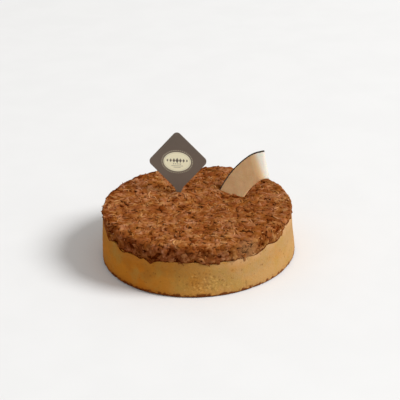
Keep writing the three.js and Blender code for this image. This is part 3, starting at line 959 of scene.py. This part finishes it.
def tagOutline(spec, steps=10):
    half = spec["side"] / math.sqrt(2)
    reach = half - spec["corner"] * math.sqrt(2)
    stake, neck, tip = 0.5 * spec["stakeWidth"], 0.5 * spec["neckWidth"], 0.5 * spec["tipWidth"]
    stakeSide = [(tip, -spec["stakeDepth"]), (neck, spec["neckHeight"]),
                 (stake, spec["middle"] - half + stake)]
    points = list(stakeSide)
    for corner in range(3):  # right, top, left
        middle = Vector((reach * math.cos(corner * math.pi / 2), reach * math.sin(corner * math.pi / 2)))
        for step in range(steps + 1):
            turn = (corner - 0.5) * math.pi / 2 + step / steps * math.pi / 2
            out = Vector((math.cos(turn), math.sin(turn))) * spec["corner"]
            points.append((middle.x + out.x, spec["middle"] + middle.y + out.y))
    points += [(-x, y) for x, y in reversed(stakeSide)]
    return np.array(points)


def makeTag(spec):
    outline = tagOutline(spec)
    nextOne, lastOne = np.roll(outline, -1, axis=0), np.roll(outline, 1, axis=0)
    way = nextOne - lastOne
    normal = np.stack([way[:, 1], -way[:, 0]], -1) / np.linalg.norm(way, axis=1)[:, None]
    inset = outline - normal * spec["bevel"]
    half = 0.5 * spec["thickness"]
    flat = half - spec["bevel"]
    levels = [(inset, -half), (outline, -flat), (outline, flat), (inset, half)]
    turn = math.radians(spec["roll"])
    spin = np.array([[math.cos(turn), math.sin(turn)], [-math.sin(turn), math.cos(turn)]])
    corners = np.vstack([np.column_stack([ring @ spin, np.full(len(ring), z)]) for ring, z in levels])
    count = len(outline)
    faces = [[level * count + i, level * count + (i + 1) % count, (level + 1) * count + (i + 1) % count,
              (level + 1) * count + i] for level in range(3) for i in range(count)]
    faces += [list(range(count))[::-1], [3 * count + i for i in range(count)]]
    piece = makePiece("plaque", corners, faces)
    for face in piece.data.polygons[-2:]:
        face.use_smooth = False
    piece.matrix_world = standing(tagPlace["foot"], tagPlace["lean"], tagPlace["yaw"])
    return piece


def ovalPlace(tree, x, y, centre, radii):
    # how far across and up from the centre, each as a share of its radius
    across = maths(tree, "DIVIDE", maths(tree, "SUBTRACT", x, centre[0] * mm), radii[0] * mm)
    return across, maths(tree, "DIVIDE", maths(tree, "SUBTRACT", y, centre[1] * mm), radii[1] * mm)


def hypotenuse(tree, a, b):
    return maths(tree, "SQRT", maths(tree, "ADD", times(tree, a, a), times(tree, b, b)))


def ovalDistance(tree, x, y, centre, radii):
    # 1 on the oval's edge, less inside
    return hypotenuse(tree, *ovalPlace(tree, x, y, centre, radii))


def lozengeDistance(tree, x, y, centre, radii):
    across, up = ovalPlace(tree, x, y, centre, radii)
    return maths(tree, "ADD", maths(tree, "ABSOLUTE", across), maths(tree, "ABSOLUTE", up))


def hairline(tree, x, y, spec):
    # a thin line inside the oval's edge
    line = spec["hairline"]
    radii = [radius - line["in"] for radius in spec["oval"]["radii"]]
    distance = ovalDistance(tree, x, y, spec["oval"]["centre"], radii)
    off = maths(tree, "ABSOLUTE", maths(tree, "SUBTRACT", distance, 1.0))
    return rescale(tree, off, 0.5 * line["width"], line["width"], line["strength"], 0.0)


def pearlRing(tree, x, y, spec):
    # a ring of round dots outside the oval
    pearls, centre = spec["pearls"], spec["oval"]["centre"]
    radii = [radius + pearls["out"] for radius in spec["oval"]["radii"]]
    meanRadius = 0.5 * sum(radii)  # millimetres, as every length below
    across, up = ovalPlace(tree, x, y, centre, radii)
    turns = maths(tree, "DIVIDE", maths(tree, "ARCTAN2", up, across), 2 * math.pi / pearls["count"])
    along = maths(tree, "SUBTRACT", maths(tree, "FRACT", turns), 0.5)
    along = times(tree, along, 2 * math.pi * meanRadius / pearls["count"])
    out = maths(tree, "SUBTRACT", ovalDistance(tree, x, y, centre, radii), 1.0)
    away = hypotenuse(tree, along, times(tree, out, meanRadius))
    return rescale(tree, away, 0.7 * pearls["radius"], 1.2 * pearls["radius"], pearls["strength"], 0.0)


def ovalPrint(tree, x, y, spec):
    # dark lozenges, dots, two rules and a hairline, all inside the oval
    cx, cy = spec["oval"]["centre"]
    lozenges, dots, rules = spec["lozenges"], spec["dots"], spec["rules"]
    marks = hairline(tree, x, y, spec)
    for number in range(1 - len(lozenges["heights"]), len(lozenges["heights"])):
        height = lozenges["heights"][abs(number)]
        middle = (cx + number * lozenges["step"], cy + lozenges["up"])
        lozenge = lozengeDistance(tree, x, y, middle, (lozenges["slim"] * height, height))
        lozenge = rescale(tree, lozenge, *lozenges["soft"], lozenges["strength"], 0.0)
        marks = maths(tree, "MAXIMUM", marks, lozenge)
    for number in range(-dots["each"], dots["each"] + 1):
        middle = (cx + number * dots["step"], cy + dots["up"])
        dot = ovalDistance(tree, x, y, middle, (dots["radius"], dots["radius"]))
        marks = maths(tree, "MAXIMUM", marks, rescale(tree, dot, *dots["soft"], dots["strength"], 0.0))
    for rise, half in rules["lines"]:
        off = maths(tree, "ABSOLUTE", maths(tree, "SUBTRACT", y, (cy + rise) * mm))
        reach = maths(tree, "ABSOLUTE", maths(tree, "SUBTRACT", x, cx * mm))
        start, end = (edge * mm for edge in rules["soft"])
        rule = times(tree, rescale(tree, off, start, end, rules["strength"], 0.0),
                     rescale(tree, reach, half * mm, (half + rules["end"]) * mm, 1.0, 0.0))
        marks = maths(tree, "MAXIMUM", marks, rule)
    return marks


def tagMaterial(spec):
    material, tree, shader = startMaterial("printedCard", Specular_IOR_Level=0.5)
    x, y, z = splitPlace(tree)
    front = maths(tree, "GREATER_THAN", z, 0.2 * mm)  # its back has no print
    patches = times(tree, place(tree, "mottle", **spec["lighterPatches"]), spec["patchShare"])
    # painted reflection of the coconut low on the tag, with random lighter patches
    lighter = maths(tree, "ADD", rescale(tree, y, *spec["reflectionAlongY"]), patches)
    colour = mixColours(tree, lighter, spec["taupe"], spec["taupeLight"])
    oval = ovalDistance(tree, x, y, spec["oval"]["centre"], spec["oval"]["radii"])
    cream = maths(tree, "MAXIMUM", rescale(tree, oval, 0.985, 1.01, 1.0, 0.0), pearlRing(tree, x, y, spec))
    colour = mixColours(tree, times(tree, cream, front), colour, spec["cream"])
    colour = mixColours(tree, times(tree, ovalPrint(tree, x, y, spec), front), colour, spec["ink"])
    tree.links.new(colour, shader.inputs["Base Color"])
    sheen = place(tree, "mottle", Size=5, Seed=3)
    tree.links.new(rescale(tree, sheen, 0, 1, *spec["roughness"]), shader.inputs["Roughness"])
    addBump(tree, shader, place(tree, "grain", Size=0.5), 0.02 * mm)
    return material


plaque = makeTag(tag)
wear(plaque, tagMaterial(tag))
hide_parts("tag")
print("tag made")


# slice of coconut

sliceSpec = {
    "outer": 62 * mm, "inner": 36 * mm, "thickness": 1.5 * mm, "ends": (176, 125.5),
    "centre": (60 * mm, -8.5 * mm), "curlStart": 0.76, "curlDepth": 5 * mm, "bow": 0.8 * mm,
    "tipReach": 40 * mm,  # roughly its length, for rounding its free end
    "columns": 90, "rows": 36, "ripple": 0.12 * mm, "rippleSize": 5 * mm,
    "flesh": (0.74, 0.465, 0.235, 1), "toasted": (0.69, 0.40, 0.185, 1),
    "patches": {"Size": 10, "Low": 0.3, "High": 0.75},
    # shares of its length over which it is painted darker, as painted shade where it starts to curl, then
    # painted white, as painted light on its lit curled end
    "curlShade": (0.60, 0.39, 0.205, 1), "curled": (0.77, 0.86),
    "white": (0.61, 0.575, 0.49, 1), "litEnd": (0.865, 0.98),
    "skin": (0.030, 0.017, 0.008, 1), "skinFrom": (0.930, 0.945), "skinSway": 0.012,
    "roughness": (0.45, 0.6), "grainBump": 0.12 * mm,
}


def sheetPoint(spec, along, across, side):
    width = spec["outer"] - spec["inner"]
    radius = spec["inner"] + width * across
    angle = np.radians(spec["ends"][0] + (spec["ends"][1] - spec["ends"][0]) * along)
    curl = np.maximum(along - spec["curlStart"], 0) / (1 - spec["curlStart"])
    x = spec["centre"][0] + radius * np.cos(angle)
    y = spec["centre"][1] + radius * np.sin(angle)
    drop = spec["curlDepth"] * curl ** 2 + spec["bow"] * (2 * across - 1) ** 2
    edge = np.minimum(np.minimum(across, 1 - across) * width, (1 - along) * spec["tipReach"])
    rounded = np.sqrt(np.clip(edge / (0.5 * spec["thickness"]), 0.04, 1))
    z = side * 0.5 * spec["thickness"] * rounded - drop
    return np.stack([x, y, z], -1)


def makeSlice(spec):
    along = np.linspace(0, 1, spec["columns"])
    across = 0.5 - 0.5 * np.cos(np.linspace(0, math.pi, spec["rows"]))
    grid = np.meshgrid(along, across, indexing="ij")
    corners, marks = [], []
    for side in (1, -1):
        points = sheetPoint(spec, grid[0], grid[1], side)
        points[..., 2] += spec["ripple"] * bumps(points, spec["rippleSize"], 2, 41)
        corners.append(points.reshape(-1, 3))
        marks.append(np.stack([grid[0].ravel(), grid[1].ravel()]))
    count, rows = spec["columns"] * spec["rows"], spec["rows"]
    index = np.arange(count).reshape(spec["columns"], rows)
    quads = np.stack([index[:-1, :-1], index[1:, :-1], index[1:, 1:], index[:-1, 1:]], -1).reshape(-1, 4)
    faces = quads.tolist() + (quads[:, ::-1] + count).tolist()
    loop = list(index[:, 0]) + list(index[-1, 1:]) + list(index[-2::-1, -1]) + list(index[0, -2:0:-1])
    faces += [[int(b), int(a), int(a + count), int(b + count)] for a, b in zip(loop, loop[1:] + loop[:1])]
    along, across = np.hstack(marks)
    piece = makePiece("coconutSlice", np.vstack(corners), faces, {"along": along, "across": across})
    piece.matrix_world = standing(slicePlace["foot"], slicePlace["lean"], slicePlace["yaw"])
    return piece


def sliceMaterial(spec):
    material, tree, shader = startMaterial("coconutFlesh", Specular_IOR_Level=0.25,
                                           Subsurface_Weight=0.2, Subsurface_Scale=0.002)
    across = readMark(tree, "across")
    colour = mixColours(tree, place(tree, "mottle", **spec["patches"]), spec["flesh"], spec["toasted"])
    along = maths(tree, "ADD", readMark(tree, "along"), times(tree, across, 0.05))
    # painted shade where the slice starts to curl, then painted light on its curled end
    colour = mixColours(tree, rescale(tree, along, *spec["curled"]), colour, spec["curlShade"])
    colour = mixColours(tree, rescale(tree, along, *spec["litEnd"]), colour, spec["white"])
    sway = times(tree, place(tree, "mottle", Size=2, Seed=5), spec["skinSway"])
    skin = rescale(tree, maths(tree, "ADD", across, sway), *spec["skinFrom"])
    colour = mixColours(tree, skin, colour, spec["skin"])
    tree.links.new(colour, shader.inputs["Base Color"])
    sheen = place(tree, "mottle", Size=3, Seed=1)
    tree.links.new(rescale(tree, sheen, 0, 1, *spec["roughness"]), shader.inputs["Roughness"])
    addBump(tree, shader, place(tree, "grain", Size=1.1), spec["grainBump"])
    return material


slicePiece = makeSlice(sliceSpec)
wear(slicePiece, sliceMaterial(sliceSpec))
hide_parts("coconut_slice")
print("slice of coconut made")


# floor, lights and camera

studio = {
    "floor": (0.785, 0.785, 0.785, 1), "floorReach": 7.0, "floorDarker": 0.985,
    "world": (1.0, 0.985, 0.96, 1), "worldStrength": 0.53,
    "key": {"azimuth": -14, "elevation": 40, "distance": 10.0, "size": 4.3, "power": 1050},
}
view = {"place": (0, -0.885, 0.4656), "lookAt": (0.00281, 0, 0.04626), "roll": -2.41, "lens": 107.53}


def makeFloor(spec):
    turns = np.linspace(0, 2 * math.pi, 64, endpoint=False)
    corners = np.column_stack([np.cos(turns), np.sin(turns), np.zeros(64)]) * spec["floorReach"]
    floor = makePiece("paleFloor", corners, [list(range(64))])
    material, tree, shader = startMaterial("paleMatte", Roughness=0.9, Specular_IOR_Level=0.1)
    darker = tuple(spec["floorDarker"] * c for c in spec["floor"][:3]) + (1,)
    colour = mixColours(tree, place(tree, "mottle", Size=60, Detail=2), spec["floor"], darker)
    tree.links.new(colour, shader.inputs["Base Color"])
    floor.data.materials.append(material)


def addLight(name, spec):
    data = bpy.data.lights.new(name, "AREA")
    data.shape, data.size, data.energy = "DISK", spec["size"], spec["power"]
    lamp = bpy.data.objects.new(name, data)
    azimuth, elevation = math.radians(spec["azimuth"]), math.radians(spec["elevation"])
    level = math.cos(elevation)
    way = Vector((level * math.cos(azimuth), level * math.sin(azimuth), math.sin(elevation)))
    lamp.location = way * spec["distance"]
    lamp.rotation_euler = way.to_track_quat("Z", "Y").to_euler()
    bpy.context.scene.collection.objects.link(lamp)


def addCamera(spec):
    data = bpy.data.cameras.new("camera")
    data.lens, data.sensor_width = spec["lens"], 36
    camera = bpy.data.objects.new("camera", data)
    camera.location = spec["place"]
    back = Vector(spec["place"]) - Vector(spec["lookAt"])
    turn = back.to_track_quat("Z", "Y").to_matrix() @ Matrix.Rotation(math.radians(spec["roll"]), 3, "Z")
    camera.rotation_euler = turn.to_euler()
    bpy.context.scene.collection.objects.link(camera)
    bpy.context.scene.camera = camera


makeFloor(studio)
addLight("key", studio["key"])
addCamera(view)
world = bpy.data.worlds.new("studio")
bpy.context.scene.world = world
world.use_nodes = True
sky = world.node_tree.nodes["Background"]
feed(world.node_tree, sky, Color=studio["world"], Strength=studio["worldStrength"])
bpy.context.scene.view_settings.view_transform = "Standard"
print("floor, lights and camera made")
